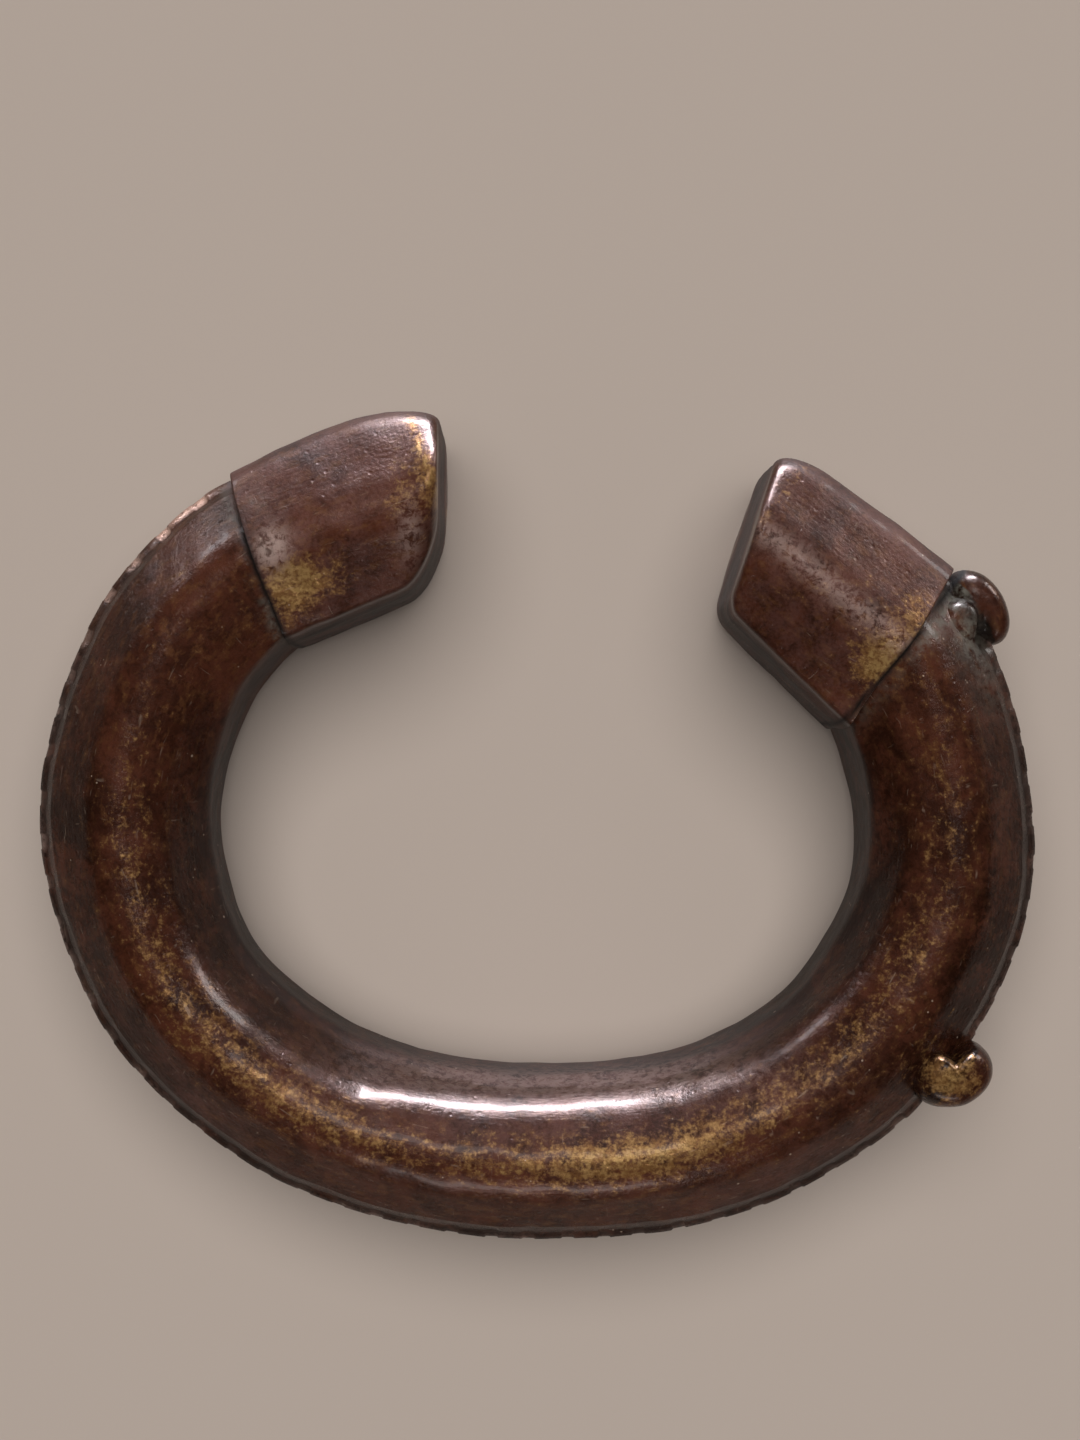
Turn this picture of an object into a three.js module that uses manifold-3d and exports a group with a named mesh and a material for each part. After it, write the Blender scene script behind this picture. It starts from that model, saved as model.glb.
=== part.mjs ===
// A heavy open bracelet of cast copper alloy: a thick bar bent into a wide C, with two blunt
// terminals that stand a little proud of it and two small knobs on its outer edge.
// It lies on its side, in millimetres: +Z is up, +Y runs towards the gap between the terminals,
// and the origin is under the middle of the casting, on the surface that it lies on.

import * as THREE from "three";
import { mergeVertices } from "three/addons/utils/BufferGeometryUtils.js";
import Module from "manifold-3d";

const wasm = await Module();
wasm.setup();

// The wrist opening, from one inner face of the bar to the other.
const openingWidth = 62.1;
const openingReach = 23.1; // from the widest line of the opening down to the foot of the C

// The bar.
const barWidth = 15.3; // from the wrist side to the top of the outer ribs
const widthShares = [1.01, 1.02, 1.035, 0.985, 0.985, 0.99, 0.99, 0.99, 1.02, 1.01, 1.03]; // along it
const barDepth = 23.4; // front crown to back crown, before the back was worn flat
const neckReach = 36; // length over which the wrist side flattens towards a collar
const crownRadius = 7;
const shoulderRadius = 4.5; // between the crown and the wrist side
// The shoulder's place along the bar, in shares of the half width: -1 is the wrist side.
const shoulderPlaces = [-0.52, -0.52, -0.5, -0.5, -0.5, -0.76, -0.84, -0.76, -0.64, -0.54, -0.52];
const shoulderHeight = 0.87; // as a share of the crown's, where the place is the first one
const shoulderSlope = 0.36; // gained in that share for each share nearer to the crown
const wristEdgeRadius = 3.4; // where the wrist side is well rounded
const wallEdgeRadius = 0.9; // where the wrist side is a flat wall
const wearDepth = 0.35; // worn off the back crown, so that the bracelet lies flat

// The outer side of the bar: two ribs, one each side of a plain band.
const ribHeight = 0.8;
const ribWidth = 2.0;
const ribBevel = 0.3;
const ribOffset = 4.6; // from the middle of the bar to the middle of each rib
const edgeInset = 1.5; // from the top of a rib back to the edge of the domed front
const edgeRadius = 0.5;

// The terminals.
const faceStep = 0.5; // how far a terminal stands proud of the bar's front and back
const lipOverlap = 5; // the bar runs this far into a terminal
const faceRounding = 0.9; // edge between an end face and the front or back
const outerShoulderRadius = 3;
const outerDraw = 0.4; // how far the outer side leans in from its middle to its shoulder
const wallBevel = 0.5; // how far the wrist wall leans in from its middle to its edges
const leftTerminal = {
  heading: 21, // degrees from +X, from collar to end face
  length: 18.2,
  outerStep: 0.9, // how far it stands proud of the ribs
  innerStep: 1.0, // the same on the wrist side
  taper: 0, // how much narrower it is at its end
  bulge: 0.9, // how far the outer side swells at its middle
  collarLean: 2.7, // degrees by which the outer side leans towards the end face
  endLean: 21,
  outerCorner: [8, 2.2], // length and depth of the rounding at the end face
  innerCorner: [4.5, 6],
};
const rightTerminal = {
  heading: 140.5,
  length: 17.9,
  outerStep: 1.6,
  innerStep: 1.8,
  taper: 1.6,
  bulge: 0.1,
  collarLean: 5.1,
  endLean: 21.5,
  outerCorner: [5, 2.4],
  innerCorner: [1.4, 1.6],
};

// The knobs: blunt stubs that stand on end at the bar's outer shoulder. Seen from the front each is
// an oval, and the lower one has a notch that makes it a heart.
const upperKnobGap = 0.9; // from the right collar back to the knob's middle
const upperKnob = {
  rise: 0.75, // from the top of the ribs out to the knob's middle
  drop: 4.3, // from the front crown down to the knob's top
  length: 8.0,
  width: 4.9,
  height: 8.0,
  turn: 0, // degrees, from the bar's direction to the oval's long side
  notch: 0, // depth as a share of the radius
  notchAt: 0, // degrees, from the bar's direction
};
const upperKnobFoot = {
  rise: -1.8,
  drop: 3.0,
  length: 4.6,
  width: 4.2,
  height: 6.0,
  turn: 0,
  notch: 0,
  notchAt: 0,
};
const lowerKnobShare = 0.763; // place of its middle, as a share of the way between the collars
const lowerKnob = {
  rise: -0.3,
  drop: 0.9,
  length: 7.9,
  width: 6.4,
  height: 8.8,
  turn: -34,
  notch: 0.5,
  notchAt: 40,
};
const notchSpread = 0.4; // radians
const bluntness = 0.6; // of a knob's top: 1 is a ball, and less is boxier

// Fineness of the mesh.
const barSteps = 80;
const terminalSteps = 6;
const knobSteps = 7;
const knobSides = 24;

// The bar's centre line from the left collar, round the foot of the C, to the right collar. It is an
// irregular, hand-bent curve, given in shares of the line's own half width and of its reach.
const halfSpan = (openingWidth + barWidth) / 2;
const footSpan = openingReach + barWidth / 2;
const centreShares = [
  [-0.67, 0.818],
  [-0.784, 0.7],
  [-0.907, 0.486],
  [-0.996, 0.03],
  [-0.876, -0.485],
  [-0.587, -0.816],
  [-0.25, -0.97],
  [0.085, -1.0],
  [0.43, -0.937],
  [0.76, -0.696],
  [0.974, -0.272],
  [1.0, 0.02],
  [0.959, 0.304],
  [0.873, 0.548],
];
const centrePoints = centreShares.map(([x, y]) => new THREE.Vector3(x * halfSpan, y * footSpan, 0));
const leftCollar = centrePoints[0];
const rightCollar = centrePoints[centrePoints.length - 1];

function direction(degrees) {
  const angle = THREE.MathUtils.degToRad(degrees);
  return new THREE.Vector3(Math.cos(angle), Math.sin(angle), 0);
}

// Both ends of the line turn into the terminals' own directions.
const barLine = new THREE.CatmullRomCurve3(
  [
    leftCollar.clone().addScaledVector(direction(leftTerminal.heading), lipOverlap),
    ...centrePoints,
    rightCollar.clone().addScaledVector(direction(rightTerminal.heading), lipOverlap),
  ],
  false,
  "centripetal"
);
barLine.arcLengthDivisions = 800;
const barLength = barLine.getLength();
const crownHeight = barDepth / 2; // of the front, above the bar's middle
const middleHeight = crownHeight - wearDepth; // of the bar's middle, above what it lies on

// Rounds the corners of an open outline. Each corner is [u, v, radius, segments], where u runs
// outward from the middle of the bar and v runs up. A radius is limited by the sides it meets.
function roundCorners(corners, before, after) {
  const all = [before, ...corners, after].map(([u, v]) => new THREE.Vector2(u, v));
  const points = [];
  corners.forEach(([, , radius, segments], i) => {
    const here = all[i + 1];
    const back = all[i].clone().sub(here);
    const ahead = all[i + 2].clone().sub(here);
    const room = 0.48 * Math.min(back.length(), ahead.length());
    back.normalize();
    ahead.normalize();
    const halfAngle = Math.acos(THREE.MathUtils.clamp(back.dot(ahead), -1, 1)) / 2;
    const reach = Math.min(radius / Math.tan(halfAngle), room);
    if (segments === 0) {
      points.push(here);
      return;
    }
    const start = here.clone().addScaledVector(back, reach);
    const end = here.clone().addScaledVector(ahead, reach);
    const toCentre = back.clone().add(ahead).normalize();
    const centre = here.clone().addScaledVector(toCentre, reach / Math.cos(halfAngle));
    const from = start.clone().sub(centre);
    const to = end.clone().sub(centre);
    const turn = Math.atan2(from.cross(to), from.dot(to));
    for (let k = 0; k <= segments; k += 1) {
      const arm = from.clone().rotateAround(new THREE.Vector2(), (turn * k) / segments);
      points.push(centre.clone().add(arm));
    }
  });
  return points;
}

// Stretches the front half of a section to its full height, and mirrors it to the back half.
function closeSection(half, crown) {
  const stretch = crown / Math.max(...half.map((p) => p.y));
  const front = half.map((p) => new THREE.Vector2(p.x, p.y * stretch));
  const back = front.map((p) => new THREE.Vector2(p.x, -p.y)).reverse();
  return [...front, ...back];
}

// The bar's section. The wrist side is a flat wall near a collar and well rounded elsewhere, and
// wall says how flat it is, from 0 to 1.
function barSection(width, wall, shoulder) {
  const mix = (plain, flat) => THREE.MathUtils.lerp(plain, flat, wall);
  const half = width / 2;
  const foot = half - ribHeight;
  const wallTop = mix(0.3, 0.68) * crownHeight;
  const shoulderTop = shoulderHeight + shoulderSlope * (shoulder - shoulderPlaces[0]);
  const corners = [
    [-half, wallTop, mix(wristEdgeRadius, wallEdgeRadius), 2],
    [shoulder * half, shoulderTop * crownHeight, shoulderRadius, 3],
    [0.12 * half, crownHeight, crownRadius, 4],
    [half - edgeInset, 0.6 * crownHeight, edgeRadius, 1],
    [foot, ribOffset + ribWidth / 2 + ribBevel, 0, 0],
    [half, ribOffset + ribWidth / 2 - ribBevel, 0, 0],
    [half, ribOffset - ribWidth / 2 + ribBevel, 0, 0],
    [foot, ribOffset - ribWidth / 2 - ribBevel, 0, 0],
  ];
  return closeSection(roundCorners(corners, [-half, -wallTop], [foot, 0]), crownHeight);
}

// A terminal's section: a wrist wall with a crisp edge, a front that rises to a soft ridge, and a
// well rounded outer shoulder. The cuts draw the sides in towards the end face.
function terminalSection({ innerStep, outerStep }, innerCut, outerCut, faceCut) {
  const inner = -barWidth / 2 - innerStep + innerCut;
  const outer = barWidth / 2 + outerStep - outerCut;
  const crown = crownHeight + faceStep - faceCut;
  const corners = [
    [inner, 0.4 * crown, wallEdgeRadius, 1],
    [inner + wallBevel, 0.72 * crown, wallEdgeRadius, 2],
    [0.52 * inner + 0.48 * outer, crown, crownRadius, 4],
    [outer - outerDraw, 0.66 * crown, outerShoulderRadius, 3],
  ];
  return closeSection(roundCorners(corners, [inner, 0], [outer, 0]), crown);
}

// Sets a flat section in space: u along the outward direction, v up from the bar's middle.
function placeSection(section, origin, outward) {
  return section.map(({ x: u, y: v }) =>
    origin.clone().addScaledVector(outward, u).setZ(middleHeight + v)
  );
}

// Skins a row of sections, each with as many points, and closes it with a flat cap at each end.
function loft(sections) {
  const count = sections[0].length;
  const last = sections.length - 1;
  const middle = (points) =>
    points.reduce((sum, p) => sum.add(p), new THREE.Vector3()).divideScalar(points.length);
  const vertices = [...sections.flat(), middle(sections[0]), middle(sections[last])];
  const startHub = vertices.length - 2;
  const endHub = vertices.length - 1;
  const indices = [];
  for (let j = 0; j < count; j += 1) {
    const next = (j + 1) % count;
    indices.push(startHub, next, j);
    indices.push(endHub, last * count + j, last * count + next);
    for (let i = 0; i < last; i += 1) {
      const a = i * count + j;
      const b = i * count + next;
      indices.push(a, b, b + count, a, b + count, a + count);
    }
  }
  const geometry = new THREE.BufferGeometry().setFromPoints(vertices);
  geometry.setIndex(indices);
  return geometry;
}

// A closed mesh as a solid that can be joined and cut.
function toSolid(geometry) {
  const plain = geometry.clone();
  plain.deleteAttribute("normal");
  plain.deleteAttribute("uv");
  const merged = mergeVertices(plain, 1e-4);
  return new wasm.Manifold(
    new wasm.Mesh({
      numProp: 3,
      vertProperties: new Float32Array(merged.attributes.position.array),
      triVerts: new Uint32Array(merged.index.array),
    })
  );
}

function toGeometry(solid) {
  const mesh = solid.getMesh();
  const positions = new THREE.BufferAttribute(new Float32Array(mesh.vertProperties), 3);
  const geometry = new THREE.BufferGeometry().setAttribute("position", positions);
  geometry.setIndex(new THREE.BufferAttribute(new Uint32Array(mesh.triVerts), 1));
  geometry.computeVertexNormals();
  return geometry;
}

// The outward side of the bar is on the right of its line's direction.
function outwardAt(along) {
  const tangent = barLine.getTangentAt(along / barLength);
  return new THREE.Vector3(tangent.y, -tangent.x, 0).normalize();
}

// The bar was shaped by eye, so its width and its shoulder wander a little. The values are spread
// evenly along it.
function valueAt(values, along) {
  const place = (along / barLength) * (values.length - 1);
  const before = Math.min(Math.floor(place), values.length - 2);
  const blend = THREE.MathUtils.smoothstep(place - before, 0, 1);
  return THREE.MathUtils.lerp(values[before], values[before + 1], blend);
}

function makeBar() {
  const sections = [];
  for (let i = 0; i <= barSteps; i += 1) {
    const along = (barLength * i) / barSteps;
    const fromCollar = Math.min(along, barLength - along) - lipOverlap;
    const wall = 1 - THREE.MathUtils.smoothstep(fromCollar, 0, neckReach);
    const origin = barLine.getPointAt(along / barLength);
    const width = barWidth * valueAt(widthShares, along);
    const section = barSection(width, wall, valueAt(shoulderPlaces, along));
    sections.push(placeSection(section, origin, outwardAt(along)));
  }
  return loft(sections);
}

// How far a side is drawn in at a distance from the end face, for a rounded corner.
function cornerCut(distance, [length, depth]) {
  const share = Math.max(1 - distance / length, 0);
  return depth * (1 - Math.sqrt(1 - share ** 2));
}

// side is 1 where the outward side is on the right of the terminal's heading, and -1 on the left.
// Half of the sections are spread over the plain stretch, and half crowd towards the end face.
function makeTerminal(shape, collar, side) {
  const heading = direction(shape.heading);
  const roundedLength = Math.max(shape.outerCorner[0], shape.innerCorner[0]);
  const plainLength = shape.length - roundedLength;
  const sections = [];
  for (let i = 0; i <= 2 * terminalSteps; i += 1) {
    const share = i / terminalSteps;
    const rounding = Math.sin((Math.max(share - 1, 0) * Math.PI) / 2);
    const along = Math.min(share, 1) * plainLength + rounding * roundedLength;
    const distance = shape.length - along;
    const lean = THREE.MathUtils.lerp(shape.collarLean, shape.endLean, along / shape.length);
    const swell = shape.bulge * Math.sin((Math.PI * along) / shape.length);
    const narrowing = (shape.taper / 2) * (along / shape.length);
    const section = terminalSection(
      shape,
      cornerCut(distance, shape.innerCorner) + narrowing,
      cornerCut(distance, shape.outerCorner) + narrowing - swell,
      cornerCut(distance, [faceRounding, faceRounding])
    );
    const origin = collar.clone().addScaledVector(heading, along);
    sections.push(placeSection(section, origin, direction(shape.heading + side * (lean - 90))));
  }
  return loft(side === 1 ? sections : sections.reverse());
}

// A knob is turned like a blunt peg and then pressed to its outline.
function makeKnob(shape, along) {
  const profile = [];
  for (let i = 0; i <= knobSteps; i += 1) {
    const turn = Math.PI * (i / knobSteps - 0.5);
    const radius = i % knobSteps === 0 ? 0 : Math.cos(turn) ** bluntness;
    profile.push(new THREE.Vector2(radius, Math.sign(turn) * Math.abs(Math.sin(turn)) ** bluntness));
  }
  const knob = new THREE.LatheGeometry(profile, knobSides);
  knob.rotateX(Math.PI / 2);
  const turn = THREE.MathUtils.degToRad(shape.turn);
  const notchAt = THREE.MathUtils.degToRad(shape.notchAt) - turn;
  const position = knob.attributes.position;
  for (let i = 0; i < position.count; i += 1) {
    const [x, y] = [position.getX(i), position.getY(i)];
    const away = Math.atan2(y, x) - notchAt;
    const offset = Math.atan2(Math.sin(away), Math.cos(away)) / notchSpread;
    const pinch = 1 - shape.notch * Math.exp(-(offset ** 2));
    position.setXY(i, x * pinch, y * pinch);
  }
  knob.scale(shape.length / 2, shape.width / 2, shape.height / 2);
  knob.rotateZ(turn);
  const outward = outwardAt(along);
  const seat = barLine.getPointAt(along / barLength);
  seat.addScaledVector(outward, barWidth / 2 + shape.rise);
  knob.rotateZ(Math.atan2(outward.y, outward.x) + Math.PI / 2);
  return knob.translate(seat.x, seat.y, middleHeight + crownHeight - shape.drop - shape.height / 2);
}

// What the wear on the back has taken away: everything below the surface it lies on.
function makeWornAway() {
  const reach = 4 * (openingWidth + openingReach + barWidth);
  const block = new THREE.BoxGeometry(reach, reach, barDepth);
  return block.translate(0, 0, -barDepth / 2);
}

function makeBracelet() {
  const upperAlong = barLength - lipOverlap - upperKnobGap;
  const lowerAlong = lipOverlap + (barLength - 2 * lipOverlap) * lowerKnobShare;
  const pieces = [
    makeTerminal(leftTerminal, leftCollar, -1),
    makeTerminal(rightTerminal, rightCollar, 1),
    makeKnob(upperKnob, upperAlong),
    makeKnob(upperKnobFoot, upperAlong),
    makeKnob(lowerKnob, lowerAlong),
  ];
  const casting = pieces.reduce((solid, piece) => solid.add(toSolid(piece)), toSolid(makeBar()));
  return toGeometry(casting.subtract(toSolid(makeWornAway())));
}

const patina = new THREE.MeshStandardMaterial({ color: 0x4a2c20, roughness: 0.38, metalness: 0.9 });
const bracelet = new THREE.Mesh(makeBracelet(), patina);
bracelet.name = "bracelet";
bracelet.geometry.computeBoundingBox();
const { min, max } = bracelet.geometry.boundingBox;
bracelet.position.set(-(min.x + max.x) / 2, -(min.y + max.y) / 2, -min.z);

const group = new THREE.Group();
group.add(bracelet);
export default group;
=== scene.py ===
import math

import bpy
import numpy as np
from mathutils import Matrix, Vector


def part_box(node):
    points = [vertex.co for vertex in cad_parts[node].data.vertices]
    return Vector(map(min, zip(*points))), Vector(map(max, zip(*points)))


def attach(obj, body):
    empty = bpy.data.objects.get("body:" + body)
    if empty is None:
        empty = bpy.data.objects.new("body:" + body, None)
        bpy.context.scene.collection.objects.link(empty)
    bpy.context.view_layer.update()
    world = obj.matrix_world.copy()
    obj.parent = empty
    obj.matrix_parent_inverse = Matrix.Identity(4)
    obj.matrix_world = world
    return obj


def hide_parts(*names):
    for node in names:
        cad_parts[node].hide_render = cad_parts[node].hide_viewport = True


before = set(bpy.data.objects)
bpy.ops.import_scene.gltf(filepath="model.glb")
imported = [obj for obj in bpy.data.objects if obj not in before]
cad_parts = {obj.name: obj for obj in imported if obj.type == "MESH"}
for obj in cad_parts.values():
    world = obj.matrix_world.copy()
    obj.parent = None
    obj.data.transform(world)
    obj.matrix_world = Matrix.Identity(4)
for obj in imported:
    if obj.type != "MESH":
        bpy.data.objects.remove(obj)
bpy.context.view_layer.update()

# The bar is the body of the bracelet: a thick rod of cast copper alloy, bent by hand into a wide C.
# Its front is domed, and its wrist side is rounded at the foot of the C and a flat wall by the
# collars. Lengths are in millimetres up to the finished casting, which is then brought to metres.
opening_width, opening_reach = 62.1, 23.1
bar_width, bar_depth = 15.3, 23.4
width_shares = [1.01, 1.02, 1.035, 0.985, 0.985, 0.99, 0.99, 0.99, 1.02, 1.01, 1.03]
neck_reach = 36.0  # the wrist side flattens over this length before a collar
crown_radius, crown_place = 7.0, 0.12
outer_edge_height = 0.6
shoulder_radius = 4.5
# The shoulder's place along the bar, in shares of the half width: -1 is the wrist side.
shoulder_places = [-0.52, -0.52, -0.5, -0.5, -0.5, -0.76, -0.84, -0.76, -0.64, -0.54, -0.52]
shoulder_height, shoulder_slope = 0.87, 0.36
wrist_edge_radius, wall_edge_radius = 3.4, 0.9
least_wall, wall_growth = 0.3, 0.38  # the height of the wrist side's flat part
wear_depth = 0.35  # worn off the back, so that the bracelet lies flat
lip_overlap = 5.0  # the bar runs this far into each terminal
corner_room = 0.48  # a rounded corner takes this share of a side, at most
look_ahead = 0.05
crown_height = bar_depth / 2
middle_height = crown_height - wear_depth
left_heading, right_heading = 21.0, 140.5  # the ways that the terminals point, in degrees from +X
half_span = (opening_width + bar_width) / 2
foot_span = opening_reach + bar_width / 2
centre_points = np.array([
    (-0.67, 0.818), (-0.784, 0.7), (-0.907, 0.486), (-0.996, 0.03), (-0.876, -0.485),
    (-0.587, -0.816), (-0.25, -0.97), (0.085, -1.0), (0.43, -0.937), (0.76, -0.696),
    (0.974, -0.272), (1.0, 0.02), (0.959, 0.304), (0.873, 0.548),
]) * (half_span, foot_span)
left_collar, right_collar = centre_points[0], centre_points[-1]


def heading_of(degrees):
    return np.array([math.cos(math.radians(degrees)), math.sin(math.radians(degrees))])


def ease(share):
    share = np.clip(share, 0, 1)
    return share * share * (3 - 2 * share)


def spring_through(points, steps=120):
    """The smooth line that a springy wire takes through the points."""
    points = [2 * points[0] - points[1], *points, 2 * points[-1] - points[-2]]
    share = np.linspace(0, 1, steps, endpoint=False)[:, None]
    line = []
    for a, b, c, d in zip(points, points[1:], points[2:], points[3:]):
        ab, bc, cd = (math.sqrt(np.linalg.norm(q - p)) for p, q in ((a, b), (b, c), (c, d)))
        leave = ((b - a) / ab - (c - a) / (ab + bc) + (c - b) / bc) * bc
        arrive = ((c - b) / bc - (d - b) / (bc + cd) + (d - c) / cd) * bc
        square, cube = -3 * b + 3 * c - 2 * leave - arrive, 2 * b - 2 * c + leave + arrive
        line.append(b + leave * share + square * share**2 + cube * share**3)
    return np.vstack(line + [points[-2][None]])


bar_line = spring_through([
    left_collar + lip_overlap * heading_of(left_heading),
    *centre_points,
    right_collar + lip_overlap * heading_of(right_heading),
])
bar_run = np.concatenate([[0], np.cumsum(np.linalg.norm(np.diff(bar_line, axis=0), axis=1))])
bar_length = bar_run[-1]


def on_bar(along):
    """The points of the bar's middle line at these lengths along it, and the outward directions."""
    def at(run):
        return np.stack([np.interp(run, bar_run, bar_line[:, k]) for k in (0, 1)], axis=-1)

    behind = at(np.maximum(along - look_ahead, 0))
    ahead = at(np.minimum(along + look_ahead, bar_length)) - behind
    ahead /= np.linalg.norm(ahead, axis=-1, keepdims=True)
    return at(along), np.stack([ahead[..., 1], -ahead[..., 0]], axis=-1)


def value_at(values, along):
    """The bar was shaped by eye, so its width and shoulder wander. The values are spread evenly
    along it."""
    place = np.asarray(along) / bar_length * (len(values) - 1)
    before = np.minimum(place.astype(int), len(values) - 2)
    values = np.array(values)
    change = values[before + 1] - values[before]
    return values[before] + change * ease(place - before)


def round_section(start, corners, end, crown):
    """A closed section with rounded corners. start and end lie on the middle plane, each with the
    steps that lead away from it, and a corner is (u, v, radius, steps round it, steps onward)."""
    spots = [np.array(start[:2])] + [np.array(c[:2]) for c in corners] + [np.array(end)]
    laid = [(spots[0], start[2])]
    bends = zip(spots, spots[1:], spots[2:], corners)
    for before, here, after, (_, _, radius, steps, onward) in bends:
        back, ahead = before - here, after - here
        room = corner_room * min(np.linalg.norm(back), np.linalg.norm(ahead))
        back, ahead = back / np.linalg.norm(back), ahead / np.linalg.norm(ahead)
        half_angle = math.acos(max(-1.0, min(1.0, float(back @ ahead)))) / 2
        reach = min(radius / math.tan(half_angle), room)
        inward = (back + ahead) / np.linalg.norm(back + ahead)
        centre = here + inward * reach / math.cos(half_angle)
        arm, last = here + back * reach - centre, here + ahead * reach - centre
        turn = math.atan2(arm[0] * last[1] - arm[1] * last[0], float(arm @ last))
        for k in range(steps + 1):
            c, s = math.cos(turn * k / steps), math.sin(turn * k / steps)
            point = centre + (c * arm[0] - s * arm[1], s * arm[0] + c * arm[1])
            laid.append((point, onward if k == steps else 1))
    laid[0] = (laid[1][0] * (1, 0), start[2])
    laid.append((laid[-1][0] * (1, 0), 1))
    half = [laid[0][0]]
    for (here, steps), (after, _) in zip(laid, laid[1:]):
        half += [here + (after - here) * k / steps for k in range(1, steps + 1)]
    half = np.array(half)
    half[:, 1] *= crown / half[:, 1].max()
    back_half = half[-2:0:-1] * (1, -1)
    return np.vstack([half, back_half])


# Two ribs run round the outer side of the bar, one each side of a plain band. They were cast with
# it, and their outer edges were then nicked with a file, a little over three millimetres apart.
rib_height, rib_width, rib_bevel, rib_offset = 0.8, 2.0, 0.3, 4.6
edge_inset, edge_radius, rib_edge_radius = 1.5, 0.5, 0.16
nick_pitch, nick_length, nick_depth = 3.15, 1.15, 0.42
first_nick, nick_drift = 1.6, 0.16
nick_flank = 0.3  # in shares of half a nick's length
nick_steps = [-0.5, -0.36, -0.12, 0.12, 0.36, 0.5]  # in shares of a nick's length
between_nicks, last_sections = 4, 12
touch = 0.02


def bar_section(width, wall, shoulder):
    """wall says how flat the wrist side is, from 0 to 1."""
    half = width / 2
    foot = half - rib_height
    wall_top = (least_wall + wall_growth * wall) * crown_height
    edge = wrist_edge_radius + (wall_edge_radius - wrist_edge_radius) * wall
    shoulder_top = shoulder_height + shoulder_slope * (shoulder - shoulder_places[0])
    outer, inner = rib_offset + rib_width / 2, rib_offset - rib_width / 2
    corners = [
        (-half, wall_top, edge, 5, 4),
        (shoulder * half, shoulder_top * crown_height, shoulder_radius, 8, 3),
        (crown_place * half, crown_height, crown_radius, 10, 5),
        (half - edge_inset, outer_edge_height * crown_height, edge_radius, 3, 2),
        (foot, outer + rib_bevel, rib_edge_radius, 1, 2),
        (half, outer - rib_bevel, rib_edge_radius, 1, 5),
        (half, inner + rib_bevel, rib_edge_radius, 1, 2),
        (foot, inner - rib_bevel, rib_edge_radius, 1, 4),
    ]
    return round_section((-half, 0.0, 7), corners, (foot, 0.0), crown_height)


def bar_stations():
    """Lengths along the bar for its sections, close together at each nick. The first few are
    inside the terminal."""
    rng = np.random.default_rng(11)
    centres = np.arange(lip_overlap + first_nick, bar_length - lip_overlap, nick_pitch)
    centres += rng.uniform(-nick_drift, nick_drift, len(centres))
    stations = [0.0, 1.7, 3.4, lip_overlap - 0.1]
    for middle in centres:
        first = middle + nick_steps[0] * nick_length
        gap = np.linspace(stations[-1], first, between_nicks + 1)[1:-1]
        stations += [*gap, *(middle + share * nick_length for share in nick_steps)]
    stations += [*np.linspace(stations[-1], bar_length, last_sections)[1:]]
    return np.array(stations), centres


bar_along, nick_centres = bar_stations()
nick_strengths = np.random.default_rng(5).uniform(0.6, 1.0, len(nick_centres))
nick_strengths *= np.interp(
    nick_centres / bar_length, [0.0, 0.2, 0.34, 0.45, 1.0], [1, 0.8, 0.5, 0.3, 0.5]
)


def nick_at(along):
    """How deep the file went at this length, as a share of a full nick."""
    away = np.abs(np.asarray(along)[..., None] - nick_centres) / (nick_length / 2)
    return (nick_strengths * np.clip((1.0 - away) / nick_flank, 0, 1)).max(axis=-1)


def make_bar_rings():
    points, outward = on_bar(bar_along)
    from_collar = np.minimum(bar_along, bar_length - bar_along) - lip_overlap
    walls = 1 - ease(from_collar / neck_reach)
    rings = []
    for i, along in enumerate(bar_along):
        width = float(bar_width * value_at(width_shares, along))
        section = bar_section(width, walls[i], float(value_at(shoulder_places, along)))
        u, v = section[:, 0], section[:, 1]
        # A nick is a slope filed across the edge that the rib turns to the bar's front or back.
        slope = np.abs(v) - (rib_offset + rib_width / 2 - nick_depth)
        on_rib = u > width / 2 - rib_height - touch
        filed_to = width / 2 - np.clip(slope, 0, None)
        filed = np.where(on_rib & (slope > 0), np.minimum(u, filed_to), u)
        u = u + (filed - u) * nick_at(along)
        x, y = points[i][:, None] + outward[i][:, None] * u
        rings.append(np.stack([x, y, middle_height + v], axis=1))
    return rings


def make_shell(name, rings, cap_steps):
    """Skins the rings with a closed surface. Its flat ends are cut into smaller rings."""
    first, last = rings[0], rings[-1]
    shares = [1 - k / cap_steps for k in range(1, cap_steps)]
    opening = [first.mean(axis=0) + (first - first.mean(axis=0)) * s for s in reversed(shares)]
    closing = [last.mean(axis=0) + (last - last.mean(axis=0)) * s for s in shares]
    rings = [*opening, *rings, *closing]
    count, rows = len(first), len(rings)
    vertices = np.vstack(rings + [first.mean(axis=0)[None], last.mean(axis=0)[None]])
    around = np.arange(count)
    following = (around + 1) % count
    quads = np.vstack([
        np.stack([row + around, row + following, row + count + following, row + count + around], 1)
        for row in range(0, (rows - 1) * count, count)
    ])
    end = (rows - 1) * count
    hub = rows * count
    sides = list(zip(around.tolist(), following.tolist()))
    fans = [(hub, b, a) for a, b in sides] + [(hub + 1, end + a, end + b) for a, b in sides]
    mesh = bpy.data.meshes.new(name)
    mesh.from_pydata(vertices.tolist(), [], quads.tolist() + fans)
    mesh.update()
    shell = bpy.data.objects.new(name, mesh)
    bpy.context.scene.collection.objects.link(shell)
    # The skin's outside is where the enclosed volume counts as positive.
    mesh.calc_loop_triangles()
    corners = np.array([t.vertices for t in mesh.loop_triangles])
    a, b, c = (vertices[corners[:, k]] for k in range(3))
    if np.einsum("ij,ij->i", a, np.cross(b, c)).sum() < 0:
        mesh.flip_normals()
    return shell


bar = make_shell("bar", make_bar_rings(), cap_steps=3)

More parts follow.
